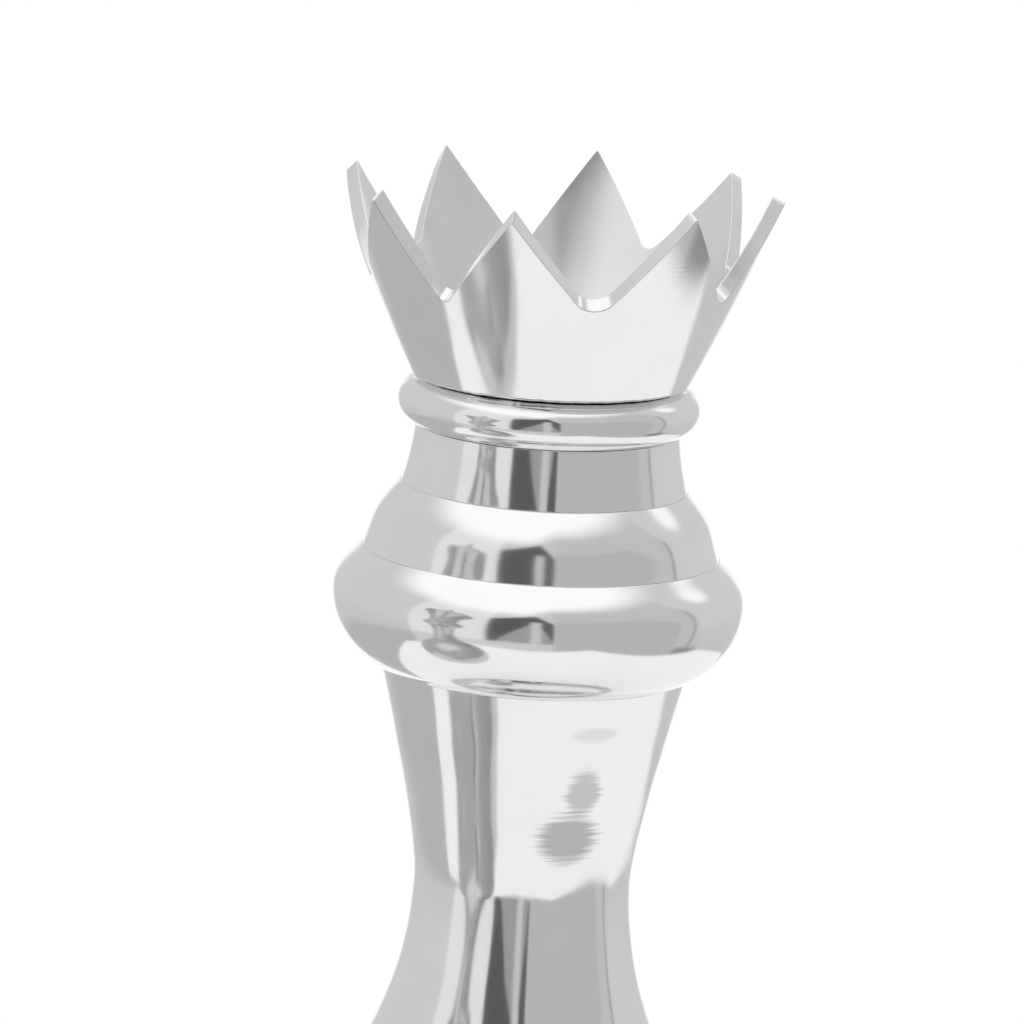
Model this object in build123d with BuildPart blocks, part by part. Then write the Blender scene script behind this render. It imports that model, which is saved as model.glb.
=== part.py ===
from build123d import *
import math
import os

# Giant chess queen: a stack of hollow, polished aluminium castings clamped by one long tie rod.
# Millimetres, +Z up. The origin is the centre of the face that the queen stands on.
# Unless a name says otherwise, a radius is measured from the queen's axis and a height from the floor.

# Driving dimensions: the heights of the joints between the castings, from the top down.
crown_top = 541.0
crown_seat = 463.5
bead_seat = 445.5
neck_seat = 423.2
upper_bulge_seat = 398.0
lower_bulge_seat = 353.0
waist_height = 270.3
stem_seat = 176.0
bell_seat = 98.0
base_bead_seat = 72.0
pad_thickness = 2.0

# Crown: a flared cup whose rim is filed into eight teeth.
cup_rim_radius = 80.4
crown_rim_radius = 86.2
crown_mid_radius, crown_mid_height = 69.8, 500.0
crown_foot_radius = 52.9
cup_mid_radius, cup_mid_height = 65.0, 503.5
cup_floor_radius, cup_floor = 50.5, 474.0
cup_corner = 12.0
foot_rounding = 0.8

# The teeth are hand-filed, so no two are quite alike. Directions are in degrees round from the front
# (-Y) towards +X. Each tooth is (direction, drop of its tip below the rim, slope of its ridge going
# outwards), and each notch is (direction, depth below the rim, rounding of its floor). The first
# notch lies between the first tooth and the second.
teeth = [
    (-11.9, 2.0, 1.05),
    (36.4, 0.5, 0.50),
    (81.0, 1.0, 0.50),
    (126.0, 2.0, 0.50),
    (170.5, 1.0, 0.90),
    (214.0, 0.2, 1.00),
    (255.5, 1.5, 1.05),
    (304.6, 1.5, 1.00),
]
notches = [
    (11.8, 37.5, 8.0),
    (62.0, 36.5, 5.0),
    (104.0, 35.5, 5.0),
    (149.0, 35.2, 4.0),
    (192.5, 37.0, 5.0),
    (234.5, 37.0, 5.0),
    (280.0, 37.0, 5.0),
    (324.5, 37.5, 3.0),
]
notch_floor_radius = 65.0  # where a notch's depth is measured, on the cup's inner wall
notch_floor_slope = 0.8    # how fast the notch's floor drops going outwards
cutter_inner, cutter_outer = 45.0, 100.0
cutter_overshoot = 1.6

# Rings and bulges. The castings' edges are broken by a fine chamfer where two of them meet.
seam_chamfer = 0.25
bead_radius, bead_section_radius = 57.5, 9.0
neck_top_radius, neck_mid_radius, neck_mid_height, neck_foot_radius = 50.4, 51.9, 434.0, 54.4
upper_bulge_top_radius, upper_bulge_foot_radius = 54.5, 67.8
upper_bulge_curve = [
    (upper_bulge_top_radius, neck_seat - seam_chamfer),
    (65.1, 412.0),
    (64.0, 408.9),
    (upper_bulge_foot_radius, upper_bulge_seat + seam_chamfer),
]
lower_bulge_top_radius, lower_bulge_foot_radius = 67.9, 59.5
lower_bulge_radius, lower_bulge_middle = 78.4, 380.2
lower_bulge_shoulder = [
    (lower_bulge_top_radius, upper_bulge_seat - seam_chamfer),
    (71.8, 394.0),
    (lower_bulge_radius, 389.5),
    (lower_bulge_radius, lower_bulge_middle),
]
lower_bulge_underside = [
    (lower_bulge_radius, lower_bulge_middle),
    (lower_bulge_radius, 367.6),
    (70.1, 356.1),
    (lower_bulge_foot_radius, lower_bulge_seat),
]

# Stem: a taper into the waist, then one large arc out to the foot.
stem_top_radius, waist_radius, stem_foot_radius = 59.1, 41.7, 76.2
stem_taper = [
    (stem_top_radius, lower_bulge_seat - seam_chamfer),
    (49.4, 317.1),
    (waist_radius, 281.6),
    (waist_radius, waist_height),
]
stem_wall = 7.0
stem_bore_top = 322.0

# Base: bell, bead and plinth.
bell_top_radius, bell_radius, bell_middle = 77.5, 110.0, 128.0
bell_shoulder_radius, bell_shoulder_height = 101.5, 156.6
base_bead_radius, base_bead_section_radius = 112.0, 13.0
plinth_cove_top, plinth_cove_foot = (101.0, base_bead_seat), (114.0, 36.0)
plinth_cove_middle = (105.2, 53.0)
plinth_radius, plinth_rounding = 120.0, 3.0
web_thickness = 10.0
ledge_inner_radius, ledge_thickness = 90.0, 8.0

# Registers: each casting has a short spigot on top that centres the casting above it.
spigot_height, recess_depth, spigot_wall = 4.0, 4.5, 6.0
fit = 0.2
neck_register = 43.0
bulge_register = 56.0
stem_register = 50.0
bell_register = 66.0
base_register = 92.0

# Hardware.
rod_radius, rod_bottom, rod_top = 5.0, 38.0, 489.5
rod_clearance = 0.5
rod_chamfer = 1.0
nut_flats, nut_height, lock_nut_height = 17.0, 8.0, 5.0
dome_radius, dome_nut_height, dome_bore = 8.0, 18.0, 14.0
crown_washer_radius, crown_washer_thickness = 15.0, 2.5
base_washer_radius, base_washer_thickness = 20.0, 3.0
spring_washer_radius, spring_washer_thickness, spring_washer_gap = 9.0, 2.2, 1.5
cover_radius, cover_thickness = 104.0, 3.0
screw_circle, screw_radius, screw_head_radius, screw_length = 97.0, 2.5, 5.0, 10.0
screw_clearance, socket_flats, socket_depth = 0.25, 3.0, 1.6
pad_radius = 116.0

os.makedirs("parts", exist_ok=True)


def turn_between(direction, tooth):
    """Angle from a notch's direction to a tooth beside it, in radians, positive towards +X."""
    return math.radians((tooth[0] - direction + 180) % 360 - 180)


def ridge_point(direction, reach, tooth):
    """Where a tooth's ridge crosses the plane that stands reach mm out along a notch's direction."""
    turn = turn_between(direction, tooth)
    _, tip_drop, ridge_slope = tooth
    return reach * math.tan(turn), -tip_drop - ridge_slope * (reach / math.cos(turn) - cup_rim_radius)


def notch_section(notch, reach, tooth_before, tooth_after):
    """V across a notch, square to its direction and reach mm out from the axis."""
    direction, depth, rounding = notch
    heading = math.radians(direction - 90)
    outwards = (math.cos(heading), math.sin(heading), 0)
    across = (-math.sin(heading), math.cos(heading), 0)
    opening = sum(
        math.atan2(cup_rim_radius * abs(math.sin(turn_between(direction, tooth))), depth)
        for tooth in (tooth_before, tooth_after)
    )
    below_rounding = rounding * (1 / math.sin(opening / 2) - 1)
    floor = (0, -depth - below_rounding - notch_floor_slope * (reach - notch_floor_radius))
    before, after = (
        tuple(f + cutter_overshoot * (r - f) for f, r in zip(floor, ridge_point(direction, reach, tooth)))
        for tooth in (tooth_before, tooth_after)
    )
    centre = (reach * outwards[0], reach * outwards[1], crown_top)
    with BuildSketch(Plane(origin=centre, x_dir=across, z_dir=outwards)) as section:
        with BuildLine():
            Polyline(before, floor, after, close=True)
        make_face()
        lowest = section.vertices().sort_by(Axis.Y)[0]
        fillet(lowest, rounding * reach / notch_floor_radius)
    return section.sketch


# Crown.
with BuildPart() as crown:
    with BuildSketch(Plane.XZ) as crown_section:
        with BuildLine():
            Polyline(
                (rod_radius + rod_clearance, cup_floor),
                (rod_radius + rod_clearance, crown_seat + recess_depth),
                (neck_register + fit, crown_seat + recess_depth),
                (neck_register + fit, crown_seat),
                (crown_foot_radius, crown_seat),
            )
            ThreePointArc(
                (crown_foot_radius, crown_seat),
                (crown_mid_radius, crown_mid_height),
                (crown_rim_radius, crown_top),
            )
            Line((crown_rim_radius, crown_top), (cup_rim_radius, crown_top))
            ThreePointArc(
                (cup_rim_radius, crown_top),
                (cup_mid_radius, cup_mid_height),
                (cup_floor_radius, cup_floor),
            )
            Line((cup_floor_radius, cup_floor), (rod_radius + rod_clearance, cup_floor))
        make_face()
        corners = crown_section.vertices()
        fillet(corners.sort_by_distance((cup_floor_radius, cup_floor))[0], cup_corner)
        fillet(corners.sort_by_distance((crown_foot_radius, crown_seat))[0], foot_rounding)
    revolve(axis=Axis.Z)
    for notch, tooth_before, tooth_after in zip(notches, teeth, teeth[1:] + teeth[:1]):
        loft(
            sections=[
                notch_section(notch, reach, tooth_before, tooth_after)
                for reach in (cutter_inner, cutter_outer)
            ],
            ruled=True,
            mode=Mode.SUBTRACT,
        )
crown.part.label = "crown"
export_step(crown.part, "parts/crown.step")

# Collar bead under the crown.
with BuildPart() as collar_bead:
    with BuildSketch(Plane.XZ):
        bead_centre_radius = bead_radius - bead_section_radius
        with BuildLine():
            Polyline(
                (bead_centre_radius, bead_seat),
                (neck_register + fit, bead_seat),
                (neck_register + fit, bead_seat + recess_depth),
                (neck_register - spigot_wall, bead_seat + recess_depth),
                (neck_register - spigot_wall, crown_seat + spigot_height),
                (neck_register, crown_seat + spigot_height),
                (neck_register, crown_seat),
                (bead_centre_radius, crown_seat),
            )
            ThreePointArc(
                (bead_centre_radius, crown_seat),
                (bead_radius, (crown_seat + bead_seat) / 2),
                (bead_centre_radius, bead_seat),
            )
        make_face()
    revolve(axis=Axis.Z)
collar_bead.part.label = "collar_bead"
export_step(collar_bead.part, "parts/collar_bead.step")

# Neck band.
with BuildPart() as neck_band:
    with BuildSketch(Plane.XZ) as neck_section:
        with BuildLine():
            Polyline(
                (neck_foot_radius, neck_seat),
                (neck_register + fit, neck_seat),
                (neck_register + fit, bead_seat - spigot_wall),
                (neck_register - spigot_wall, bead_seat - spigot_wall),
                (neck_register - spigot_wall, bead_seat + spigot_height),
                (neck_register, bead_seat + spigot_height),
                (neck_register, bead_seat),
                (neck_top_radius, bead_seat),
            )
            ThreePointArc(
                (neck_top_radius, bead_seat),
                (neck_mid_radius, neck_mid_height),
                (neck_foot_radius, neck_seat),
            )
        make_face()
        corners = neck_section.vertices()
        chamfer(corners.sort_by_distance((neck_foot_radius, neck_seat))[0], seam_chamfer)
        chamfer(corners.sort_by_distance((neck_top_radius, bead_seat))[0], seam_chamfer)
    revolve(axis=Axis.Z)
neck_band.part.label = "neck_band"
export_step(neck_band.part, "parts/neck_band.step")

# Upper bulge.
with BuildPart() as upper_bulge:
    with BuildSketch(Plane.XZ):
        with BuildLine():
            Polyline(
                upper_bulge_curve[-1],
                (upper_bulge_foot_radius - seam_chamfer, upper_bulge_seat),
                (bulge_register + fit, upper_bulge_seat),
                (bulge_register + fit, upper_bulge_seat + recess_depth),
                (neck_register + fit, neck_seat - 2 * spigot_wall),
                (neck_register - spigot_wall, neck_seat - 2 * spigot_wall),
                (neck_register - spigot_wall, neck_seat + spigot_height),
                (neck_register, neck_seat + spigot_height),
                (neck_register, neck_seat),
                (upper_bulge_top_radius - seam_chamfer, neck_seat),
                upper_bulge_curve[0],
            )
            Bezier(*upper_bulge_curve)
        make_face()
    revolve(axis=Axis.Z)
upper_bulge.part.label = "upper_bulge"
export_step(upper_bulge.part, "parts/upper_bulge.step")

# Lower bulge, the widest ring under the crown.
with BuildPart() as lower_bulge:
    with BuildSketch(Plane.XZ):
        with BuildLine():
            Polyline(
                lower_bulge_underside[-1],
                (stem_register + fit, lower_bulge_seat),
                (stem_register + fit, lower_bulge_seat + 2 * recess_depth),
                (68.0, lower_bulge_middle - 14),
                (70.5, lower_bulge_middle),
                (64.0, upper_bulge_seat - 8),
                (bulge_register - spigot_wall, upper_bulge_seat - 8),
                (bulge_register - spigot_wall, upper_bulge_seat + spigot_height),
                (bulge_register, upper_bulge_seat + spigot_height),
                (bulge_register, upper_bulge_seat),
                (lower_bulge_top_radius - seam_chamfer, upper_bulge_seat),
                lower_bulge_shoulder[0],
            )
            Bezier(*lower_bulge_shoulder)
            Bezier(*lower_bulge_underside)
        make_face()
    revolve(axis=Axis.Z)
lower_bulge.part.label = "lower_bulge"
export_step(lower_bulge.part, "parts/lower_bulge.step")

# Stem.
with BuildPart() as stem:
    with BuildSketch(Plane.XZ):
        bore_waist = (waist_radius - stem_wall, waist_height)
        with BuildLine():
            Bezier(*stem_taper)
            TangentArc(stem_taper[-1], (stem_foot_radius, stem_seat), tangent=(0, -1))
            foot_bore = TangentArc(
                bore_waist, (bell_register - 1, stem_seat + recess_depth), tangent=(0, -1))
            Polyline(
                (stem_foot_radius, stem_seat),
                (bell_register + fit, stem_seat),
                (bell_register + fit, stem_seat + recess_depth),
                foot_bore @ 1,
            )
            Bezier(
                (stem_register - spigot_wall, stem_bore_top),
                (39.7, stem_bore_top - 18),
                (waist_radius - stem_wall, waist_height + 8),
                bore_waist,
            )
            Polyline(
                (stem_register - spigot_wall, stem_bore_top),
                (stem_register - spigot_wall, lower_bulge_seat + spigot_height),
                (stem_register, lower_bulge_seat + spigot_height),
                (stem_register, lower_bulge_seat),
                (stem_top_radius - seam_chamfer, lower_bulge_seat),
                stem_taper[0],
            )
        make_face()
    revolve(axis=Axis.Z)
stem.part.label = "stem"
export_step(stem.part, "parts/stem.step")

# Bell, the convex shoulder below the stem's flare.
with BuildPart() as bell:
    with BuildSketch(Plane.XZ):
        bell_foot_radius = base_bead_radius - base_bead_section_radius
        with BuildLine():
            ThreePointArc(
                (bell_top_radius, stem_seat),
                (bell_shoulder_radius, bell_shoulder_height),
                (bell_radius, bell_middle),
            )
            Bezier(
                (bell_radius, bell_middle),
                (bell_radius, bell_middle - 14),
                (bell_radius - 2, bell_seat + 4),
                (bell_foot_radius, bell_seat),
            )
            Polyline(
                (bell_foot_radius, bell_seat),
                (base_register + fit, bell_seat),
                (base_register + fit, bell_seat + recess_depth),
                (98.0, bell_seat + 10),
                (102.0, bell_middle),
                (94.0, 154.0),
                (80.0, 166.0),
                (bell_register - spigot_wall, stem_seat - 8),
                (bell_register - spigot_wall, stem_seat + spigot_height),
                (bell_register, stem_seat + spigot_height),
                (bell_register, stem_seat),
                (bell_top_radius, stem_seat),
            )
        make_face()
    revolve(axis=Axis.Z)
bell.part.label = "bell"
export_step(bell.part, "parts/bell.step")

# Base bead.
with BuildPart() as base_bead:
    with BuildSketch(Plane.XZ):
        base_bead_centre_radius = base_bead_radius - base_bead_section_radius
        with BuildLine():
            Polyline(
                (base_bead_centre_radius, base_bead_seat),
                (base_register + fit, base_bead_seat),
                (base_register + fit, base_bead_seat + recess_depth),
                (base_register - spigot_wall, base_bead_seat + recess_depth),
                (base_register - spigot_wall, bell_seat + spigot_height),
                (base_register, bell_seat + spigot_height),
                (base_register, bell_seat),
                (base_bead_centre_radius, bell_seat),
            )
            ThreePointArc(
                (base_bead_centre_radius, bell_seat),
                (base_bead_radius, (bell_seat + base_bead_seat) / 2),
                (base_bead_centre_radius, base_bead_seat),
            )
        make_face()
    revolve(axis=Axis.Z)
base_bead.part.label = "base_bead"
export_step(base_bead.part, "parts/base_bead.step")

# Plinth, with the web that the tie rod pulls on and the ledge that the cover screws to.
ledge_bottom = pad_thickness + cover_thickness
with BuildPart() as base_plinth:
    with BuildSketch(Plane.XZ) as plinth_section:
        with BuildLine():
            ThreePointArc(plinth_cove_top, plinth_cove_middle, plinth_cove_foot)
            Polyline(
                plinth_cove_foot,
                (plinth_radius, plinth_cove_foot[1]),
                (plinth_radius, pad_thickness),
                (cover_radius + fit, pad_thickness),
                (cover_radius + fit, ledge_bottom),
                (ledge_inner_radius, ledge_bottom),
                (ledge_inner_radius, ledge_bottom + ledge_thickness),
                (108.0, ledge_bottom + ledge_thickness),
                (110.0, 28.0),
                (100.0, 40.0),
                (93.0, base_bead_seat - web_thickness),
                (rod_radius + rod_clearance, base_bead_seat - web_thickness),
                (rod_radius + rod_clearance, base_bead_seat),
                (base_register - spigot_wall, base_bead_seat),
                (base_register - spigot_wall, base_bead_seat + spigot_height),
                (base_register, base_bead_seat + spigot_height),
                (base_register, base_bead_seat),
                plinth_cove_top,
            )
        make_face()
        rim = plinth_section.vertices()
        fillet(rim.sort_by_distance((plinth_radius, plinth_cove_foot[1]))[0], plinth_rounding)
        fillet(rim.sort_by_distance((plinth_radius, pad_thickness))[0], plinth_rounding)
    revolve(axis=Axis.Z)
    with BuildSketch(Plane.XY.offset(ledge_bottom)):
        with PolarLocations(screw_circle, 4, start_angle=45):
            Circle(screw_radius)
    extrude(amount=ledge_thickness, mode=Mode.SUBTRACT)
base_plinth.part.label = "base_plinth"
export_step(base_plinth.part, "parts/base_plinth.step")

# Tie rod.
with BuildPart() as tie_rod:
    with BuildSketch(Plane.XY.offset(rod_bottom)):
        Circle(rod_radius)
    extrude(amount=rod_top - rod_bottom)
    chamfer(tie_rod.edges().filter_by(GeomType.CIRCLE), rod_chamfer)
tie_rod.part.label = "tie_rod"
export_step(tie_rod.part, "parts/tie_rod.step")

# Washer and closed dome nut on the crown's floor.
with BuildPart() as crown_washer:
    with BuildSketch(Plane.XY.offset(cup_floor)):
        Circle(crown_washer_radius)
        Circle(rod_radius + rod_clearance, mode=Mode.SUBTRACT)
    extrude(amount=crown_washer_thickness)
crown_washer.part.label = "crown_washer"
export_step(crown_washer.part, "parts/crown_washer.step")

dome_nut_seat = cup_floor + crown_washer_thickness
with BuildPart() as crown_dome_nut:
    with BuildSketch(Plane.XY.offset(dome_nut_seat)):
        RegularPolygon(nut_flats / 2, 6, major_radius=False)
    extrude(amount=nut_height)
    with BuildSketch(Plane.XZ):
        dome_centre = dome_nut_seat + dome_nut_height - dome_radius
        with BuildLine():
            CenterArc((0, dome_centre), dome_radius, 0, 90)
            Polyline(
                (0, dome_centre + dome_radius),
                (0, dome_nut_seat),
                (dome_radius, dome_nut_seat),
                (dome_radius, dome_centre),
            )
        make_face()
    revolve(axis=Axis.Z)
    with BuildSketch(Plane.XY.offset(dome_nut_seat)):
        Circle(rod_radius)
    extrude(amount=dome_bore, mode=Mode.SUBTRACT)
crown_dome_nut.part.label = "crown_dome_nut"
export_step(crown_dome_nut.part, "parts/crown_dome_nut.step")

# Washers and nuts under the plinth's web, from the web down.
web_bottom = base_bead_seat - web_thickness
with BuildPart() as base_washer:
    with BuildSketch(Plane.XY.offset(web_bottom - base_washer_thickness)):
        Circle(base_washer_radius)
        Circle(rod_radius + rod_clearance, mode=Mode.SUBTRACT)
    extrude(amount=base_washer_thickness)
base_washer.part.label = "base_washer"
export_step(base_washer.part, "parts/base_washer.step")

spring_washer_bottom = web_bottom - base_washer_thickness - spring_washer_thickness
with BuildPart() as base_spring_washer:
    with BuildSketch(Plane.XY.offset(spring_washer_bottom)):
        Circle(spring_washer_radius)
        Circle(rod_radius + fit, mode=Mode.SUBTRACT)
        with Locations((spring_washer_radius, 0)):
            Rectangle(spring_washer_radius, spring_washer_gap, mode=Mode.SUBTRACT)
    extrude(amount=spring_washer_thickness)
base_spring_washer.part.label = "base_spring_washer"
export_step(base_spring_washer.part, "parts/base_spring_washer.step")

base_nut_bottom = spring_washer_bottom - nut_height
with BuildPart() as base_nut:
    with BuildSketch(Plane.XY.offset(base_nut_bottom)):
        RegularPolygon(nut_flats / 2, 6, major_radius=False)
        Circle(rod_radius, mode=Mode.SUBTRACT)
    extrude(amount=nut_height)
base_nut.part.label = "base_nut"
export_step(base_nut.part, "parts/base_nut.step")

with BuildPart() as lock_nut:
    with BuildSketch(Plane.XY.offset(base_nut_bottom - lock_nut_height)):
        RegularPolygon(nut_flats / 2, 6, major_radius=False, rotation=10)
        Circle(rod_radius, mode=Mode.SUBTRACT)
    extrude(amount=lock_nut_height)
lock_nut.part.label = "lock_nut"
export_step(lock_nut.part, "parts/lock_nut.step")

# Cover plate that closes the hollow foot, and its four countersunk screws.
with BuildPart() as base_cover:
    with BuildSketch(Plane.XY.offset(pad_thickness)):
        Circle(cover_radius)
    extrude(amount=cover_thickness)
    with Locations(Plane.XY.offset(pad_thickness).rotated((180, 0, 0))):
        with PolarLocations(screw_circle, 4, start_angle=45):
            CounterSinkHole(
                screw_radius + screw_clearance, screw_head_radius, counter_sink_angle=90)
base_cover.part.label = "base_cover"
export_step(base_cover.part, "parts/base_cover.step")

with BuildPart() as cover_screws:
    for screw_direction in (45, 135, 225, 315):
        heading = math.radians(screw_direction)
        head = (screw_circle * math.cos(heading), screw_circle * math.sin(heading), pad_thickness)
        with BuildSketch(Plane(origin=head)):
            Circle(screw_head_radius)
        extrude(amount=screw_head_radius - screw_radius, taper=45)
        with BuildSketch(Plane(origin=head)):
            Circle(screw_radius)
        extrude(amount=screw_length)
        with BuildSketch(Plane(origin=head)):
            RegularPolygon(socket_flats / 2, 6, major_radius=False)
        extrude(amount=socket_depth, mode=Mode.SUBTRACT)
cover_screws.part.label = "cover_screws"
export_step(cover_screws.part, "parts/cover_screws.step")

# Felt pad under the foot.
with BuildPart() as felt_pad:
    with BuildSketch(Plane.XY):
        Circle(pad_radius)
    extrude(amount=pad_thickness)
felt_pad.part.label = "felt_pad"
export_step(felt_pad.part, "parts/felt_pad.step")
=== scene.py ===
import bpy
import math
import numpy as np
from mathutils import Matrix, Vector


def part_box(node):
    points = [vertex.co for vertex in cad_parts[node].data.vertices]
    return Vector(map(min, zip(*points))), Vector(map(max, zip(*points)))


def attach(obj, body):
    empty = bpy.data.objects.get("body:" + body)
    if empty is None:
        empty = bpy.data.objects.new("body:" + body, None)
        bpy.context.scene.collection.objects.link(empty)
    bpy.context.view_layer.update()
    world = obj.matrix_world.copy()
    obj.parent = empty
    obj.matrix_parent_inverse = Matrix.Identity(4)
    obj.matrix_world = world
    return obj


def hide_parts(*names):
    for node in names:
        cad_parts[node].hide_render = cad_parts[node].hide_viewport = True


# Giant chess queen in polished cast aluminium. Outlines are in millimetres and become metres when
# a mesh is made. A direction is in degrees round from the front (-Y) towards +X.
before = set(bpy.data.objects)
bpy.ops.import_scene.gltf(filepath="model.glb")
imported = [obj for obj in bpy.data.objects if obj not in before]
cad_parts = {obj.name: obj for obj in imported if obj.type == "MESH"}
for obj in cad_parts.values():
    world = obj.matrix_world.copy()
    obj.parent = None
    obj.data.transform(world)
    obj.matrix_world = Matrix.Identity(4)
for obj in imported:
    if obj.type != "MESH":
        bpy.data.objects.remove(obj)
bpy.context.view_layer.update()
MM = 0.001


def low(node):
    """Height of a CAD node's underside, in mm."""
    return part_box(node)[0].z / MM


def reach(node):
    """Largest radius of a CAD node, in mm."""
    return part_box(node)[1].x / MM


crown_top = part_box("crown")[1].z / MM
crown_seat = low("crown")
bead_seat = low("collar_bead")
neck_seat = low("neck_band")
upper_seat = low("upper_bulge")
lower_seat = low("lower_bulge")
stem_seat = low("stem")
bell_seat = low("bell")
base_bead_seat = low("base_bead")
plinth_seat = low("base_plinth")
cup_floor = low("crown_washer")

# Registers: the short spigot on each casting that centres the casting above it.
SPIGOT, RECESS, WALL, FIT = 4.0, 4.5, 6.0, 0.2
NECK, BULGE, STEM, BELL, BASE = 43.0, 56.0, 50.0, 66.0, 92.0
ROD_HOLE = 5.5
SEAM = 0.3  # rounding of the edges that meet in a seam
EDGE = 0.2  # rounding of the castings' hidden edges


# ---------------------------------------------------------------- outlines
def spread(count):
    """count + 1 values from 0 to 1, closer together near both ends."""
    return (1 - np.cos(np.linspace(0, math.pi, count + 1))) / 2


def circle_through(a, b, c):
    (ax, ay), (bx, by), (cx, cy) = a, b, c
    d = 2 * (ax * (by - cy) + bx * (cy - ay) + cx * (ay - by))
    sa, sb, sc = ax * ax + ay * ay, bx * bx + by * by, cx * cx + cy * cy
    x = (sa * (by - cy) + sb * (cy - ay) + sc * (ay - by)) / d
    y = (sa * (cx - bx) + sb * (ax - cx) + sc * (bx - ax)) / d
    return x, y, math.hypot(ax - x, ay - y)


def arc(start, middle, end, count):
    x, y, radius = circle_through(start, middle, end)
    a0, am, a1 = (math.atan2(p[1] - y, p[0] - x) for p in (start, middle, end))
    turn = (a1 - a0) % (2 * math.pi)
    if (am - a0) % (2 * math.pi) > turn:
        turn -= 2 * math.pi
    angles = a0 + turn * spread(count)
    return np.stack([x + radius * np.cos(angles), y + radius * np.sin(angles)], 1)


def upright_arc(start, end, count):
    """Arc that leaves start straight down and ends at end."""
    dx, dy = end[0] - start[0], end[1] - start[1]
    radius = (dx * dx + dy * dy) / (2 * dx)
    sweep = math.atan2(-dy, radius - dx)
    angles = sweep * spread(count)
    return np.stack([start[0] + radius * (1 - np.cos(angles)), start[1] - radius * np.sin(angles)], 1)


def bezier(points, count):
    t = spread(count)[:, None]
    p = [np.array(q, float) for q in points]
    return (1 - t) ** 3 * p[0] + 3 * t * (1 - t) ** 2 * p[1] + 3 * t * t * (1 - t) * p[2] + t ** 3 * p[3]


def trimmed(line, distance):
    """line without the given length at its start."""
    steps = np.linalg.norm(np.diff(line, axis=0), axis=1)
    run = np.concatenate([[0], np.cumsum(steps)])
    distance = min(distance, 0.45 * run[-1])
    k = int(np.searchsorted(run, distance, side="right")) - 1
    share = (distance - run[k]) / steps[k]
    first = line[k] + share * (line[k + 1] - line[k])
    rest = line[k + 1:]
    if np.linalg.norm(rest[0] - first) < 0.01 and len(rest) > 1:
        rest = rest[1:]
    return np.vstack([first[None], rest])


def resampled(line, count):
    """line with count + 1 points, closer together near both ends."""
    run = np.concatenate([[0], np.cumsum(np.linalg.norm(np.diff(line, axis=0), axis=1))])
    at = spread(count) * run[-1]
    return np.stack([np.interp(at, run, line[:, 0]), np.interp(at, run, line[:, 1])], 1)


def outline(*parts, counts=None):
    """Closed outline from (line, corner) pairs laid end to end. corner is how far the rounding of
    the corner at the line's start reaches, and 0 where the lines already run smoothly together.
    counts gives lines, by their place in parts, a fixed number of points.
    Returns the points, and 1 for a point on a curved line or beside one and 0 elsewhere."""
    lines = [np.array(line, float) for line, _ in parts]
    corners = [corner for _, corner in parts]
    shown = [len(line) > 2 for line in lines]
    ends = [line[0].copy() for line in lines]
    for i, corner in enumerate(corners):
        if corner:
            lines[i] = trimmed(lines[i], corner)
            lines[i - 1] = trimmed(lines[i - 1][::-1], corner)[::-1]
    for i, count in (counts or {}).items():
        lines[i] = resampled(lines[i], count)
    points, marks = [], []
    for i, line in enumerate(lines):
        if corners[i]:
            before, after = lines[i - 1][-1], line[0]
            for t in np.linspace(0, 1, 6)[1:-1]:
                points.append((1 - t) ** 2 * before + 2 * t * (1 - t) * ends[i] + t * t * after)
                marks.append(float(shown[i] or shown[i - 1]))
        body = line if corners[(i + 1) % len(lines)] else line[:-1]
        points.extend(body)
        marks.extend([float(shown[i])] * len(body))
    return np.array(points), np.array(marks)


# ---------------------------------------------------------------- meshes
def waviness(seed, radius, shortest=16.0, longest=70.0, count=28):
    """Smooth random height over a ring surface, about -1 to 1: how far hand polishing leaves it
    from true. It repeats exactly after one turn."""
    rng = np.random.default_rng(seed)
    waves = []
    for _ in range(count):
        length = math.exp(rng.uniform(math.log(shortest), math.log(longest)))
        tilt = rng.uniform(0, math.pi)
        around = round(2 * math.pi * radius * math.cos(tilt) / length)
        along = 2 * math.pi * math.sin(tilt) / length
        waves.append((around, along, rng.uniform(0, 2 * math.pi), length / longest))

    def height(turn, z):
        total = sum(w * np.cos(m * turn + k * z + p) for m, k, p, w in waves)
        return total / math.sqrt(sum(w * w for *_, w in waves))

    return height


def ring_mesh(name, points):
    """Closed mesh from points[column, row, xyz] in mm, joined round both ways."""
    columns, rows = points.shape[:2]
    index = np.arange(columns * rows).reshape(columns, rows)
    right = np.roll(index, -1, 0)
    faces = np.stack([index, right, np.roll(right, -1, 1), np.roll(index, -1, 1)], -1).reshape(-1, 4)
    flat = points.reshape(-1, 3)
    a, b, c, d = (flat[faces[:, i]] for i in range(4))
    if (np.cross(c - a, d - b) * a).sum() < 0:
        faces = faces[:, ::-1]
    mesh = bpy.data.meshes.new(name)
    mesh.vertices.add(len(flat))
    mesh.vertices.foreach_set("co", (flat * MM).astype(np.float32).ravel())
    mesh.loops.add(faces.size)
    mesh.loops.foreach_set("vertex_index", faces.astype(np.int32).ravel())
    mesh.polygons.add(len(faces))
    mesh.polygons.foreach_set("loop_start", np.arange(0, faces.size, 4, dtype=np.int32))
    mesh.polygons.foreach_set("use_smooth", np.ones(len(faces), bool))
    mesh.update(calc_edges=True)
    mesh.validate()
    obj = bpy.data.objects.new(name, mesh)
    bpy.context.scene.collection.objects.link(obj)
    return obj


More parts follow.
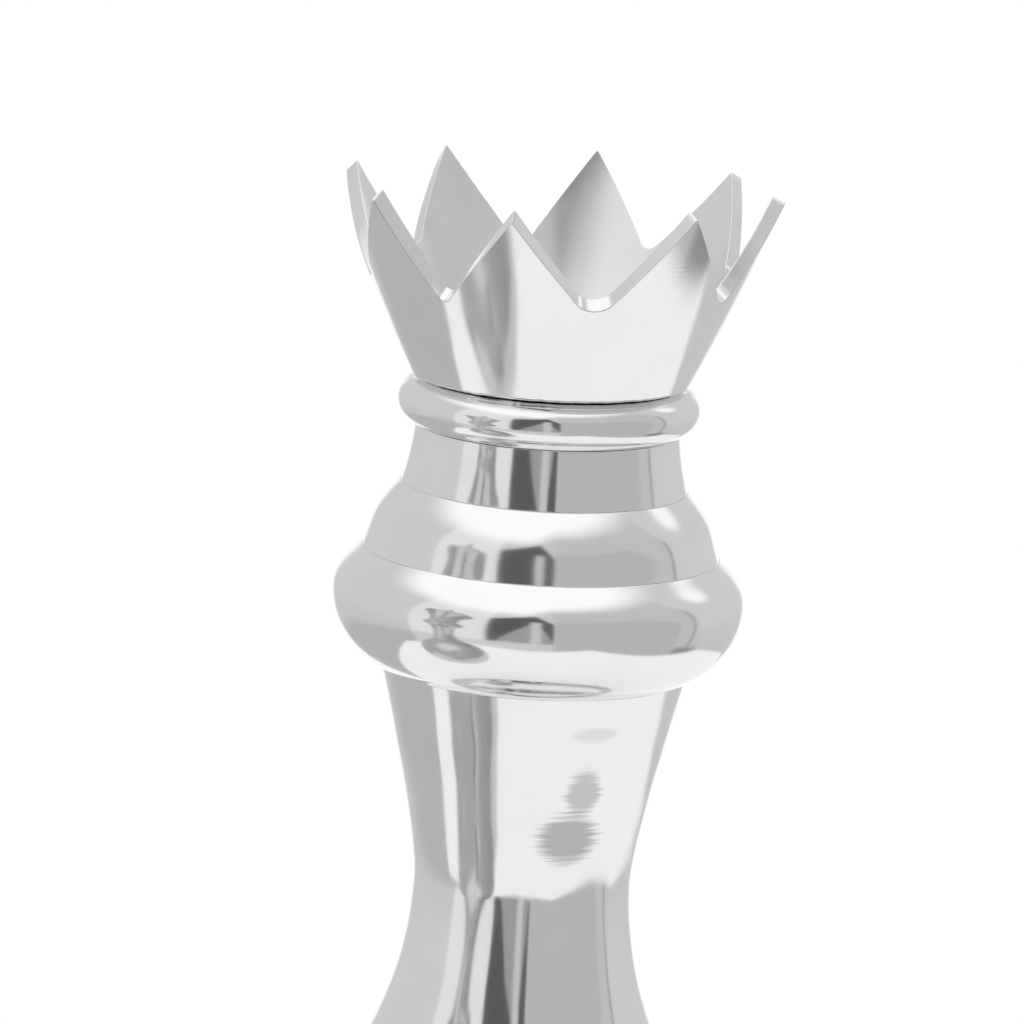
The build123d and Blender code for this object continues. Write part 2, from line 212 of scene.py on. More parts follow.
def lathe(name, shape, columns, seed, wave=0.0):
    """Turned casting from a closed outline, with its polished surface slightly uneven."""
    points, marks = shape
    along = np.roll(points, -1, 0) - np.roll(points, 1, 0)
    along /= np.linalg.norm(along, axis=1)[:, None]
    normal = np.stack([along[:, 1], -along[:, 0]], 1)
    turn = np.linspace(0, 2 * math.pi, columns, endpoint=False)[:, None]
    height = waviness(seed, points[:, 0].max())(turn, points[None, :, 1]) * marks * wave
    r = points[None, :, 0] + height * normal[None, :, 0]
    z = points[None, :, 1] + height * normal[None, :, 1]
    return ring_mesh(name, np.stack([r * np.sin(turn), -r * np.cos(turn), z], -1))


# ---------------------------------------------------------------- crown
# Each tooth is (direction, drop of its tip below the rim, slope of its ridge going outwards), and
# each notch is (direction, depth below the rim, rounding of its floor).
TEETH = [(-11.9, 2.0, 1.05), (36.4, 0.5, 0.50), (81.0, 1.0, 0.50), (126.0, 2.0, 0.50),
         (170.5, 1.0, 0.90), (214.0, 0.2, 1.00), (255.5, 1.5, 1.05), (304.6, 1.5, 1.00)]
NOTCHES = [(11.8, 37.5, 8.0), (62.0, 36.5, 5.0), (104.0, 35.5, 5.0), (149.0, 35.2, 4.0),
           (192.5, 37.0, 5.0), (234.5, 37.0, 5.0), (280.0, 37.0, 5.0), (324.5, 37.5, 3.0)]
CUP_RIM, CROWN_RIM, CROWN_FOOT = 80.4, 86.2, 52.9
FLOOR_AT, FLOOR_SLOPE = 65.0, 0.8
TIP_ROUNDING = 0.5
FILING = 0.16  # unevenness of the filed edges
CROWN_WAVE = 0.03  # unevenness of the polished walls
# Outside FOOT_EDGE the crown's rough cast underside stands clear of the bead.
FOOT_EDGE, FOOT_GAP, FOOT_RAGGED = 50.0, 1.0, 0.3
crown_outside = circle_through((CROWN_FOOT, crown_seat), (69.8, 500.0), (CROWN_RIM, crown_top))
cup_inside = circle_through((CUP_RIM, crown_top), (65.0, 503.5), (50.5, cup_floor))


def wall_radius(circle, z):
    """Radius of the flaring wall at height z. The wall's arc is hollow towards the outside."""
    x, y, radius = circle
    return x - np.sign(x) * np.sqrt(radius ** 2 - (z - y) ** 2)


def cut_height(direction, radius, k):
    """Height of the filed surface of notch k at a direction in degrees and a radius in mm."""
    heading, depth, rounding = NOTCHES[k]
    offset = np.radians((direction - heading + 180) % 360 - 180)
    out, across = radius * np.cos(offset), radius * np.sin(offset)
    sides = []
    for tooth in (TEETH[k], TEETH[(k + 1) % len(TEETH)]):
        turn = math.radians((tooth[0] - heading + 180) % 360 - 180)
        sides.append((turn, tooth[1], tooth[2]))
    opening = sum(math.atan2(CUP_RIM * abs(math.sin(turn)), depth) for turn, *_ in sides)
    sink = rounding * (1 / math.sin(opening / 2) - 1)
    floor = -depth - sink - FLOOR_SLOPE * (out - FLOOR_AT)
    slopes = []
    for turn, drop, ridge in sides:
        top = -drop - ridge * (out / math.cos(turn) - CUP_RIM)
        slopes.append((top - floor) / (out * math.tan(turn)))
    m1, m2 = slopes
    s1, s2 = np.sqrt(1 + m1 * m1), np.sqrt(1 + m2 * m2)
    size = rounding * out / FLOOR_AT
    cx = size * (s1 - s2) / (m2 - m1)
    cy = size * s1 + m1 * cx
    left, right = cx + size * m1 / s1, cx + size * m2 / s2
    inside = np.clip(size ** 2 - (across - cx) ** 2, 0, None)
    height = np.where(
        across < left, m1 * across,
        np.where(across > right, m2 * across, cy - np.sqrt(inside)))
    # the tooth's ridge on the nearer side is slightly rounded
    nearer = np.where(across < 0, sides[0][0], sides[1][0])
    away = np.abs(radius * np.sin(offset - nearer))
    steep = np.where(across < 0, -m1, m2)
    height = height - steep * (np.sqrt(away ** 2 + TIP_ROUNDING ** 2) - away)
    return crown_top + floor + height


def crown_columns(per_side):
    """(direction, notch) of each column of the crown's mesh, closer together at tips and valleys."""
    found = []
    for k, (heading, *_) in enumerate(NOTCHES):
        start, end = TEETH[k][0], TEETH[(k + 1) % len(TEETH)][0]
        end = start + (end - start) % 360
        heading = start + (heading - start) % 360
        half = spread(per_side)
        found += [(start + (heading - start) * t, k) for t in half[:-1]]
        found += [(heading + (end - heading) * t, k) for t in half[:-1]]
    return found


HALF_TOOTH_COLUMNS = 34
FINE_ROWS, CUT_ROWS = 400, 40  # before the lines are thinned out to the counts that the mesh has
HALVINGS = 44
RIPPLES = (19, 31, 47, 71, 103, 149)  # waves in one turn


def crown_points():
    rng = np.random.default_rng(5)
    ripple = [(m, rng.uniform(0, 2 * math.pi), 1 / math.sqrt(m)) for m in RIPPLES]
    outside_wave = waviness(11, 70.0)
    inside_wave = waviness(12, 65.0)
    columns = []
    for direction, k in crown_columns(HALF_TOOTH_COLUMNS):
        turn = math.radians(direction)
        filed = sum(w * math.cos(m * turn + p) for m, p, w in ripple) * FILING

        def meeting(circle):
            lowest, highest = cup_floor + 8.0, crown_top + 4.0
            for _ in range(HALVINGS):
                z = (lowest + highest) / 2
                if z > cut_height(direction, wall_radius(circle, z), k) + filed:
                    highest = z
                else:
                    lowest = z
            return z

        z_out, z_in = meeting(crown_outside), meeting(cup_inside)
        rows = spread(FINE_ROWS)
        edge = crown_seat + FOOT_GAP + FOOT_RAGGED * sum(w * math.cos(m * turn - p) for m, p, w in ripple)
        z = edge + (z_out - edge) * rows
        outer = np.stack([wall_radius(crown_outside, z), z], 1)
        r = np.linspace(outer[-1, 0], wall_radius(cup_inside, z_in), CUT_ROWS)
        cut = np.stack([r, cut_height(direction, r, k) + filed], 1)
        # the inner wall runs down to the cup's floor, with a round corner
        z = z_in + (cup_floor - z_in) * rows
        inner = np.stack([wall_radius(cup_inside, z), z], 1)
        shape, marks = outline(
            ([(ROD_HOLE, cup_floor), (ROD_HOLE, crown_seat + RECESS)], EDGE),
            ([(ROD_HOLE, crown_seat + RECESS), (NECK + FIT, crown_seat + RECESS)], EDGE),
            ([(NECK + FIT, crown_seat + RECESS), (NECK + FIT, crown_seat)], EDGE),
            ([(NECK + FIT, crown_seat), (FOOT_EDGE, crown_seat)], EDGE),
            ([(FOOT_EDGE, crown_seat), outer[0]], EDGE),
            (outer, 0.8),
            (cut, 0.45),
            (inner, 0.45),
            ([inner[-1], (ROD_HOLE, cup_floor)], 9.0),
            counts={5: 46, 6: 8, 7: 46},
        )
        columns.append((turn, shape, marks))
    rows = min(len(shape) for _, shape, _ in columns)
    assert all(len(shape) == rows for _, shape, _ in columns), "the crown's columns differ"
    points = []
    for turn, shape, marks in columns:
        r, z = shape[:, 0].copy(), shape[:, 1]
        middle = (wall_radius(crown_outside, z) + wall_radius(cup_inside, z)) / 2
        r += marks * CROWN_WAVE * np.where(r > middle, outside_wave(turn, z), inside_wave(turn, z))
        points.append(np.stack([r * math.sin(turn), -r * math.cos(turn), z], 1))
    return np.array(points)


# ---------------------------------------------------------------- castings
COLUMNS = 384


def run(*points, first=EDGE):
    """Straight lines from point to point, for outline(). first rounds the corner that they start at."""
    pairs = list(zip(points, points[1:]))
    return [([*pair], first if pair is pairs[0] else EDGE) for pair in pairs]


def recess(radius, seat, depth=RECESS):
    """Points from a casting's underside up into the recess that takes the spigot below it."""
    return [(radius + FIT, seat), (radius + FIT, seat + depth)]


def spigot(radius, seat, start):
    """Points up a spigot's bore from the height start, over its end and down to its seat."""
    return [(radius - WALL, start), (radius - WALL, seat + SPIGOT), (radius, seat + SPIGOT),
            (radius, seat)]


built = {}
built["crown"] = ring_mesh("crown_casting", crown_points())

bead = reach("collar_bead")
bead_centre = bead - (crown_seat - bead_seat) / 2
built["collar_bead"] = lathe("collar_bead_casting", outline(
    *run((bead_centre, bead_seat), *recess(NECK, bead_seat),
         *spigot(NECK, crown_seat, bead_seat + RECESS), (bead_centre, crown_seat), first=0),
    (arc((bead_centre, crown_seat), (bead, (crown_seat + bead_seat) / 2),
         (bead_centre, bead_seat), 72), 0),
), COLUMNS, 21, 0.02)

neck_top, neck_foot = 50.4, reach("neck_band")
built["neck_band"] = lathe("neck_band_casting", outline(
    *run((neck_foot, neck_seat), (NECK + FIT, neck_seat), (NECK + FIT, bead_seat - WALL),
         *spigot(NECK, bead_seat, bead_seat - WALL), (neck_top, bead_seat), first=SEAM),
    (arc((neck_top, bead_seat), (51.9, 434.0), (neck_foot, neck_seat), 60), SEAM),
), COLUMNS, 22, 0.03)

upper_top, upper_foot = 54.5, reach("upper_bulge")
upper_floor = neck_seat - 2 * WALL
built["upper_bulge"] = lathe("upper_bulge_casting", outline(
    *run((upper_foot, upper_seat), *recess(BULGE, upper_seat), (NECK + FIT, upper_floor),
         *spigot(NECK, neck_seat, upper_floor), (upper_top, neck_seat), first=SEAM),
    (bezier([(upper_top, neck_seat), (65.1, 412.0), (64.0, 408.9), (upper_foot, upper_seat)], 80), SEAM),
), COLUMNS, 23, 0.03)

lower_top, lower_foot = 67.9, 59.5
bulge_radius, bulge_middle = reach("lower_bulge"), 380.2
built["lower_bulge"] = lathe("lower_bulge_casting", outline(
    *run((lower_foot, lower_seat), *recess(STEM, lower_seat, 2 * RECESS), (68.0, bulge_middle - 14),
         (70.5, bulge_middle), (64.0, upper_seat - 8), *spigot(BULGE, upper_seat, upper_seat - 8),
         (lower_top, upper_seat), first=SEAM),
    (bezier([(lower_top, upper_seat), (71.8, 394.0), (bulge_radius, 389.5),
             (bulge_radius, bulge_middle)], 60), SEAM),
    (bezier([(bulge_radius, bulge_middle), (bulge_radius, 367.6), (70.1, 356.1),
             (lower_foot, lower_seat)], 72), 0),
), COLUMNS, 24, 0.035)

stem_top, waist, waist_height, stem_foot, stem_wall = 59.1, 41.7, 270.3, reach("stem"), 7.0
bore_top = (STEM - WALL, 322.0)
bore_waist = (waist - stem_wall, waist_height)
bore_foot = (BELL - 1, stem_seat + RECESS)
built["stem"] = lathe("stem_casting", outline(
    (bezier([(stem_top, lower_seat), (49.4, 317.1), (waist, 281.6), (waist, waist_height)], 90), SEAM),
    (upright_arc((waist, waist_height), (stem_foot, stem_seat), 72), 0),
    *run((stem_foot, stem_seat), *recess(BELL, stem_seat), bore_foot, first=SEAM),
    (upright_arc(bore_waist, bore_foot, 10)[::-1], EDGE),
    (bezier([bore_top, (39.7, 304.0), (waist - stem_wall, waist_height + 8), bore_waist], 10)[::-1], 0),
    *run(*spigot(STEM, lower_seat, bore_top[1]), (stem_top, lower_seat), first=0),
), COLUMNS, 25, 0.04)

bell_top, bell_radius, bell_middle = 77.5, reach("bell"), 128.0
bell_foot = reach("base_bead") - (bell_seat - base_bead_seat) / 2
built["bell"] = lathe("bell_casting", outline(
    (arc((bell_top, stem_seat), (101.5, 156.6), (bell_radius, bell_middle), 60), SEAM),
    (bezier([(bell_radius, bell_middle), (bell_radius, bell_middle - 14),
             (bell_radius - 2, bell_seat + 4), (bell_foot, bell_seat)], 40), 0),
    *run((bell_foot, bell_seat), *recess(BASE, bell_seat), (98.0, bell_seat + 10),
         (102.0, bell_middle), (94.0, 154.0), (80.0, 166.0), *spigot(BELL, stem_seat, stem_seat - 8),
         (bell_top, stem_seat), first=SEAM),
), COLUMNS, 26, 0.04)

base_bead = reach("base_bead")
built["base_bead"] = lathe("base_bead_casting", outline(
    *run((bell_foot, base_bead_seat), *recess(BASE, base_bead_seat),
         *spigot(BASE, bell_seat, base_bead_seat + RECESS), (bell_foot, bell_seat), first=0),
    (arc((bell_foot, bell_seat), (base_bead, (bell_seat + base_bead_seat) / 2),
         (bell_foot, base_bead_seat), 60), 0),
), COLUMNS, 27, 0.03)

plinth, plinth_top, plinth_rounding = reach("base_plinth"), 36.0, 3.0
cove_top, cove_foot = (101.0, base_bead_seat), (114.0, plinth_top)
web = base_bead_seat - 10.0
cover = reach("base_cover")
ledge = plinth_seat + 3.0
built["base_plinth"] = lathe("base_plinth_casting", outline(
    (arc(cove_top, (105.2, 53.0), cove_foot, 48), SEAM),
    ([cove_foot, (plinth, plinth_top)], SEAM),
    (arc((plinth, plinth_top), (plinth + 0.01, 19.0), (plinth, plinth_seat), 16), plinth_rounding),
    *run((plinth, plinth_seat), (cover + FIT, plinth_seat), (cover + FIT, ledge), (90.0, ledge),
         (90.0, ledge + 8), (108.0, ledge + 8), (110.0, 28.0), (100.0, 40.0), (93.0, web),
         (ROD_HOLE, web), (ROD_HOLE, base_bead_seat), *spigot(BASE, base_bead_seat, base_bead_seat),
         cove_top, first=plinth_rounding),
), COLUMNS, 28, 0.03)

for node, obj in built.items():
    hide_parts(node)
    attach(obj, "root")


# ---------------------------------------------------------------- materials
class Graph:
    """Short names for building a node tree."""

    def __init__(self, tree):
        self.tree = tree
        tree.nodes.clear()

    def node(self, kind, inputs=None, **settings):
        made = self.tree.nodes.new(kind)
        for key, value in settings.items():
            setattr(made, key, value)
        for key, value in (inputs or {}).items():
            if isinstance(value, bpy.types.NodeSocket):
                self.tree.links.new(value, made.inputs[key])
            else:
                made.inputs[key].default_value = value
        return made

    def math(self, operation, a, b=0.0, c=0.0, clamp=False):
        return self.node("ShaderNodeMath", {0: a, 1: b, 2: c}, operation=operation,
                         use_clamp=clamp).outputs[0]

    def ramp(self, value, low, high, to_low=0.0, to_high=1.0, kind="SMOOTHSTEP"):
        return self.node("ShaderNodeMapRange", {0: value, 1: low, 2: high, 3: to_low, 4: to_high},
                         interpolation_type=kind).outputs[0]

    def length(self, a, b):
        """Square root of a squared plus b squared."""
        return self.math("SQRT", self.math("MULTIPLY_ADD", a, a, self.math("MULTIPLY", b, b)))

    def mix(self, share, a, b):
        return self.node("ShaderNodeMix", {0: share, 2: a, 3: b}).outputs[0]

    def tint(self, share, a, b):
        """A colour between a and b."""
        return self.node("ShaderNodeMix", {0: share, 6: (*a, 1), 7: (*b, 1)}, data_type="RGBA").outputs[2]

    def noise(self, vector, scale, detail=2.0, roughness=0.5, stretch=(1, 1, 1)):
        placed = self.node("ShaderNodeMapping", {"Vector": vector, "Scale": stretch}).outputs[0]
        return self.node("ShaderNodeTexNoise", {"Vector": placed, "Scale": scale, "Detail": detail,
                                                "Roughness": roughness}).outputs["Fac"]

    def axes(self, vector):
        return self.node("ShaderNodeSeparateXYZ", {0: vector}).outputs


def material(name, **shader):
    """New material with a principled shader. Returns the material, its graph, the shader node and
    the position in the row frame."""
    made = bpy.data.materials.new(name)
    made.use_nodes = True
    g = Graph(made.node_tree)
    surface = g.node("ShaderNodeBsdfPrincipled", shader)
    out = g.node("ShaderNodeOutputMaterial")
    g.tree.links.new(surface.outputs[0], out.inputs[0])
    place = g.node("ShaderNodeTexCoord").outputs["Object"]
    return made, g, surface, place


def bump(g, surface, height, distance, below=None):
    """Adds fine relief, height by height, over the relief below it."""
    inputs = {"Height": height, "Distance": distance, "Strength": 1.0}
    if below:
        inputs["Normal"] = below.outputs[0]
    node = g.node("ShaderNodeBump", inputs)
    g.tree.links.new(node.outputs[0], surface.inputs["Normal"])
    return node


def filed_share(g, place):
    """1 on the crown's filed edges and inside its cup, which are less well polished, else 0."""
    facing = g.node("ShaderNodeTexCoord").outputs["Normal"]
    sideways = g.node("ShaderNodeVectorMath", {0: place, 1: (1, 1, 0)}, operation="MULTIPLY").outputs[0]
    sideways = g.node("ShaderNodeVectorMath", {0: sideways}, operation="NORMALIZE").outputs[0]
    outwards = g.node("ShaderNodeVectorMath", {0: facing, 1: sideways},
                      operation="DOT_PRODUCT").outputs["Value"]
    in_crown = g.ramp(g.axes(place)[2], 0.474, 0.480)
    return g.math("MULTIPLY", in_crown, g.ramp(outwards, 0.30, 0.55, 1.0, 0.0))


def pinholes(g, place):
    """1 in a few small pinholes of the casting, in some cells of a coarse random pattern, else 0."""
    cells = g.node("ShaderNodeTexVoronoi", {"Vector": place, "Scale": 46.0, "Randomness": 1.0})
    chosen = g.axes(cells.outputs["Color"])[0]
    size = g.ramp(chosen, 0.45, 1.0, 0.0, 0.055, "LINEAR")
    return g.ramp(g.math("SUBTRACT", cells.outputs["Distance"], size), -0.02, 0.0, 1.0, 0.0)


# Painted reflection: dark patches painted into the base colour on the front of the stem, in place of
# # a dark reflection from the table. Each is (direction in degrees, height, half-width, half-height in
# # metres, how much of the brightness it takes).
PAINTED_REFLECTION_PATCHES = [(21.0, 0.2965, 0.0125, 0.0105, 0.48), (25.5, 0.3145, 0.0075, 0.0095, 0.38),
        (26.0, 0.3385, 0.0100, 0.0030, 0.14)]


def with_painted_reflections(g, place, tone):
    """tone, darkened in the painted reflection patches. Their outlines are ragged along the polish."""
    ragged = g.noise(place, 1.0, 3.0, 0.6, (25, 25, 900))
    ragged = g.math("MULTIPLY", g.math("SUBTRACT", ragged, 0.5), 1.1)
    x, y, z = g.axes(place)
    for direction, height, half_width, half_height, loss in PAINTED_REFLECTION_PATCHES:
        turn = math.radians(direction)
        front = g.math("MULTIPLY_ADD", y, -math.cos(turn), g.math("MULTIPLY", x, math.sin(turn)))
        across = g.math("MULTIPLY_ADD", y, math.sin(turn), g.math("MULTIPLY", x, math.cos(turn)))
        across = g.math("DIVIDE", across, half_width)
        rise = g.math("DIVIDE", g.math("SUBTRACT", z, height), half_height)
        # painted reflection: how much each patch darkens the base colour
        painted_dark = g.ramp(g.math("ADD", g.length(across, rise), ragged), 0.60, 1.15, loss, 0.0)
        painted_dark = g.math("MULTIPLY", painted_dark, g.math("GREATER_THAN", front, 0.0))
        tone = g.math("MULTIPLY", tone, g.math("SUBTRACT", 1.0, painted_dark))
    return tone


def polished_aluminium():
    made, g, surface, place = material("polished_aluminium", **{"Metallic": 1.0})
    streaks = g.noise(place, 1.0, 3.0, 0.55, (45, 45, 900))
    haze = g.noise(place, 38.0, 3.0, 0.6)
    fine = g.noise(place, 1.0, 2.0, 0.5, (260, 260, 5200))
    rough = g.math("ADD", g.ramp(haze, 0.35, 0.75, 0.075, 0.12), g.math("MULTIPLY", fine, 0.02))
    rough = g.math("MULTIPLY_ADD", filed_share(g, place), 0.14, rough)
    g.tree.links.new(rough, surface.inputs["Roughness"])
    relief = bump(g, surface, streaks, 0.0000036)
    relief = bump(g, surface, fine, 0.0000008, relief)
    hole = pinholes(g, place)
    bump(g, surface, g.math("MULTIPLY", hole, -1.0), 0.0002, relief)
    tone = g.ramp(haze, 0.3, 0.7, 0.86, 0.885, "LINEAR")
    tone = g.math("MULTIPLY", tone, g.math("MULTIPLY_ADD", hole, -0.75, 1.0))
    # painted reflection: dark patches painted into the stem's base colour
    tone = with_painted_reflections(g, place, tone)
    colour = g.node("ShaderNodeCombineColor", {0: tone, 1: tone, 2: g.math("MULTIPLY", tone, 1.004)})
    g.tree.links.new(colour.outputs[0], surface.inputs["Base Color"])
    return made


def zinc_plate():
    made, g, surface, place = material("zinc_plated_steel", **{"Metallic": 1.0})
    grain = g.noise(place, 900.0, 4.0, 0.6)
    cloud = g.noise(place, 120.0, 3.0, 0.5)
    g.tree.links.new(g.tint(cloud, (0.60, 0.61, 0.62), (0.70, 0.69, 0.64)), surface.inputs["Base Color"])
    g.tree.links.new(g.ramp(cloud, 0.3, 0.7, 0.22, 0.38), surface.inputs["Roughness"])
    bump(g, surface, grain, 0.00002)
    return made


def rolled_sheet():
    made, g, surface, place = material("cover_sheet", **{"Metallic": 1.0})
    lines = g.noise(place, 1.0, 4.0, 0.6, (30, 2400, 30))
    cloud = g.noise(place, 60.0, 3.0, 0.5)
    g.tree.links.new(g.tint(cloud, (0.72, 0.72, 0.73), (0.80, 0.80, 0.81)), surface.inputs["Base Color"])
    g.tree.links.new(g.ramp(lines, 0.3, 0.7, 0.30, 0.42), surface.inputs["Roughness"])
    bump(g, surface, lines, 0.00001)
    return made


def black_felt():
    made, g, surface, place = material("felt", **{"Roughness": 1.0, "Sheen Weight": 0.35,
                                                 "Sheen Roughness": 0.4})
    fibres = g.noise(place, 1600.0, 6.0, 0.7)
    clumps = g.noise(place, 300.0, 4.0, 0.6)
    colour = g.tint(clumps, (0.022, 0.022, 0.024), (0.055, 0.055, 0.06))
    g.tree.links.new(colour, surface.inputs["Base Color"])
    bump(g, surface, fibres, 0.0002)
    return made


aluminium = polished_aluminium()
for obj in built.values():
    obj.data.materials.append(aluminium)

zinc, sheet, felt = zinc_plate(), rolled_sheet(), black_felt()
FINISH = {"tie_rod": zinc, "crown_washer": zinc, "crown_dome_nut": zinc, "base_washer": zinc,
          "base_spring_washer": zinc, "base_nut": zinc, "lock_nut": zinc, "cover_screws": zinc,
          "base_cover": sheet, "felt_pad": felt}
for node, finish in FINISH.items():
    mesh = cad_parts[node].data
    mesh.materials.clear()
    mesh.materials.append(finish)

# ---------------------------------------------------------------- studio
# The studio round the queen is painted on the world: around is a direction in degrees round from
# the front (-Y) towards +X, and above is a height in degrees over the horizon.
scene = bpy.context.scene
world = bpy.data.worlds.new("studio")
scene.world = world
world.use_nodes = True
g = Graph(world.node_tree)
x, y, z = g.axes(g.node("ShaderNodeTexCoord").outputs["Generated"])
DEGREES = 180 / math.pi
around = g.math("MULTIPLY", g.math("ARCTAN2", x, g.math("MULTIPLY", y, -1.0)), DEGREES)
above = g.math("MULTIPLY", g.math("ARCSINE", z), DEGREES)


def between(value, start, end, soft=1.0):
    rise = g.ramp(value, start - soft, start + soft)
    fall = g.ramp(value, end - soft, end + soft)
    return g.math("SUBTRACT", rise, fall, clamp=True)


def under(edge, soft=1.0):
    """1 below a height in degrees that may change with the direction, 0 above it."""
    return g.ramp(g.math("SUBTRACT", above, edge), -soft, soft, 1.0, 0.0)


def line(slope, start):
    """A height in degrees that rises by slope for each degree round."""
    return g.math("MULTIPLY_ADD", around, slope, start)


def panel(light, strength, start, end, side_soft, top, top_soft=1.0):
    """light, with a panel of the given strength painted over it from start to end, up to top."""
    share = g.math("MULTIPLY", between(around, start, end, side_soft), under(top, top_soft))
    return g.mix(share, light, strength)


light = g.mix(under(-12.0, 12.0), 0.66, 0.60)
# pale flats on the left, and the wall on the right with a grey panel before it
light = g.mix(between(around, -75.0, -28.0, 1.5), light, 0.84)
light = panel(light, 0.58, 10.0, 97.0, 1.0, 52.0, 6.0)
grey_top = g.math("MINIMUM", line(0.0, 29.0), line(-0.9, 88.0))
light = panel(light, 0.51, 12.0, 86.0, 1.5, grey_top, 3.0)
light = panel(light, 0.40, 97.0, 100.0, 0.8, 28.0, 6.0)
# the dark opening round the camera, with the legs and the column of its tripod
opening_top = g.math("MINIMUM", line(0.46, 43.0), line(-1.8, 43.0))
light = panel(light, 0.11, -28.0, 10.0, 0.8, opening_top, 1.5)
LEGS_TOP = 30.0
drop = g.math("SUBTRACT", LEGS_TOP, above)
leg_left = g.math("GREATER_THAN", around, g.math("MULTIPLY", drop, -0.45))
leg_right = g.math("LESS_THAN", around, g.math("MULTIPLY", drop, 0.2))
legs = g.math("MULTIPLY", g.math("MULTIPLY", leg_left, leg_right), under(LEGS_TOP))
light = g.mix(legs, light, 0.36)
light = panel(light, 0.62, -3.0, 3.0, 0.8, 28.0)
# what stands or lies below the table's edge: in front, on the left and on the right
light = panel(light, 0.66, -75.0, 11.0, 1.0, -20.0, 1.5)
light = panel(light, 0.50, -165.0, -75.0, 3.0, -22.0, 3.0)
light = panel(light, 0.30, 88.0, 108.0, 4.0, -26.0, 3.0)
# a soft white ceiling that starts higher on the right, a lamp, and a bright wall behind
ceiling = g.mix(between(around, 2.0, 130.0, 14.0), 45.0, 58.0)
light = g.mix(g.math("SUBTRACT", 1.0, under(ceiling, 9.0)), light, 1.10)
lamp = g.length(g.math("SUBTRACT", around, 123.0), g.math("SUBTRACT", above, 34.0))
light = g.mix(g.ramp(lamp, 4.0, 13.0, 1.0, 0.0), light, 1.05)
behind = g.ramp(g.math("ABSOLUTE", around), 155.0, 162.0)
light = g.mix(g.math("MULTIPLY", behind, under(8.0, 8.0)), light, 1.05)
seen = g.node("ShaderNodeLightPath").outputs["Is Camera Ray"]
light = g.mix(seen, light, 1.0)
shade = g.node("ShaderNodeBackground", {"Color": (1, 1, 1, 1), "Strength": light})
g.tree.links.new(shade.outputs[0], g.node("ShaderNodeOutputWorld").inputs[0])

# In reflections the floor is the white table top that the queen stands on, whose edges are straight
# and not far away. Each side is (direction that it faces, its distance from the queen in metres,
# how soft its edge is).
TABLE_SIDES = [
    (-140.0, 0.315, 0.01), (-88.0, 0.62, 0.02), (-2.0, 0.69, 0.03), (72.0, 0.62, 0.04),
    (120.0, 0.74, 0.02), (180.0, 0.70, 0.05),
]


def floor_white():
    """Pale matt floor that fades to plain white further out, and the table top in reflections."""
    made = bpy.data.materials.new("floor_white")
    made.use_nodes = True
    g = Graph(made.node_tree)
    place = g.node("ShaderNodeTexCoord").outputs["Object"]
    far = g.node("ShaderNodeVectorMath", {0: place}, operation="LENGTH").outputs["Value"]
    x, y, _ = g.axes(place)
    inside = 1.0
    for direction, distance, soft in TABLE_SIDES:
        turn = math.radians(direction)
        out = g.math("MULTIPLY_ADD", y, -math.cos(turn), g.math("MULTIPLY", x, math.sin(turn)))
        inside = g.math("MULTIPLY", g.ramp(out, distance - soft, distance + soft, 1.0, 0.0), inside)

    def shader(kind, inputs=None):
        return g.node(kind, inputs).outputs[0]

    matt = shader("ShaderNodeBsdfDiffuse", {"Color": (0.90, 0.90, 0.90, 1)})
    white = shader("ShaderNodeEmission", {"Color": (1, 1, 1, 1), "Strength": 1.0})
    glow = shader("ShaderNodeEmission", {"Color": (1, 1, 1, 1), "Strength": 0.23})
    clear = shader("ShaderNodeBsdfTransparent")
    table = shader("ShaderNodeAddShader", {0: matt, 1: glow})
    shown = shader("ShaderNodeMixShader", {0: g.ramp(far, 0.25, 0.70), 1: matt, 2: white})
    mirrored = shader("ShaderNodeMixShader", {0: inside, 1: clear, 2: table})
    camera_ray = g.node("ShaderNodeLightPath").outputs["Is Camera Ray"]
    blend = shader("ShaderNodeMixShader", {0: camera_ray, 1: mirrored, 2: shown})
    g.tree.links.new(blend, g.node("ShaderNodeOutputMaterial").inputs[0])
    return made


FLOOR_RADIUS = 12.0
bpy.ops.mesh.primitive_circle_add(vertices=128, radius=FLOOR_RADIUS, fill_type="NGON", location=(0, 0, 0))
floor = bpy.context.object
floor.name = "floor"
floor.data.materials.append(floor_white())

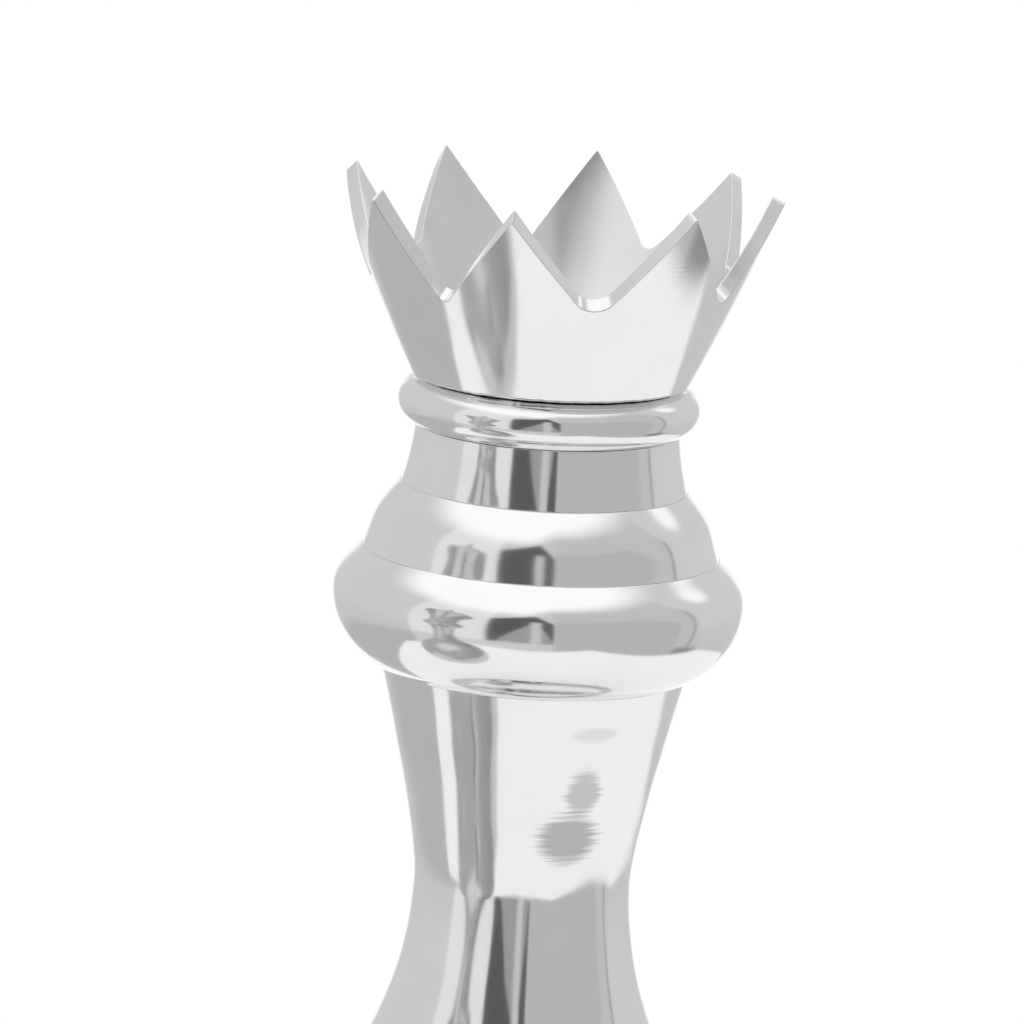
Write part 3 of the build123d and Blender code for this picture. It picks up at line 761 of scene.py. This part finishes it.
# The king that goes with the queen stands on the table, out of the picture, and shows only in
# reflections. Its outline is (radius, height) in mm, from the foot up.
KING_PLACE = Vector((-0.348, -0.312, 0))
KING = [
    (1, 0), (158, 0), (168, 12), (172, 45), (166, 75), (148, 110), (120, 142), (88, 165), (66, 185),
    (52, 215), (46, 250), (46, 280), (52, 315), (62, 345), (86, 356), (92, 375), (88, 392), (76, 402),
    (66, 415), (62, 440), (70, 452), (66, 466), (76, 490), (96, 525), (120, 548), (104, 566),
    (60, 582), (22, 592), (12, 604), (16, 625), (14, 650), (1, 655),
]


def smoothed(points, rounds=3):
    """Closed outline with its corners cut off, several times over."""
    points = np.array(points, float)
    for _ in range(rounds):
        after = np.roll(points, -1, 0)
        points = np.stack([points * 0.75 + after * 0.25, points * 0.25 + after * 0.75], 1).reshape(-1, 2)
    return points


def darker(metal, name, tone):
    """Copy of a metal with a plain base colour of the given tone, used for a darkened, shaded copy."""
    made = metal.copy()
    made.name = name
    shader = next(n for n in made.node_tree.nodes if n.type == "BSDF_PRINCIPLED")
    made.node_tree.links.remove(shader.inputs["Base Color"].links[0])
    shader.inputs["Base Color"].default_value = (tone, tone, tone, 1)
    return made


king_outline = np.maximum(smoothed(KING), (0.5, 0.0))
king = lathe("king", (king_outline, np.zeros(len(king_outline))), 192, 31)
# painted shade: the king's copy of the queen's aluminium is darkened to 0.62, so it reflects darker
king.data.materials.append(darker(aluminium, "king_metal_painted_shade", 0.62))
king.location = KING_PLACE
king.visible_camera = False
king.visible_diffuse = False
king.visible_shadow = False

# ---------------------------------------------------------------- camera
scene.view_settings.view_transform = "Standard"
camera = bpy.data.objects.new("camera", bpy.data.cameras.new("camera"))
scene.collection.objects.link(camera)
scene.camera = camera
camera.data.sensor_width = 36.0
camera.data.lens = 244.2
CAMERA_PLACE = (0, -2.57375, 0.93067)
yaw, pitch, roll = (math.radians(angle) for angle in (-0.258, 11.4027, 3.2))
ahead = Vector((math.sin(yaw) * math.cos(pitch), math.cos(yaw) * math.cos(pitch), -math.sin(pitch)))
right = Vector((math.cos(yaw), -math.sin(yaw), 0))
up = right.cross(ahead)
side = right * math.cos(roll) + up * math.sin(roll)
over = -right * math.sin(roll) + up * math.cos(roll)
turned = Matrix((side, over, -ahead)).transposed().to_4x4()
camera.matrix_world = Matrix.Translation(CAMERA_PLACE) @ turned
camera.data.clip_start, camera.data.clip_end = 0.05, 50.0
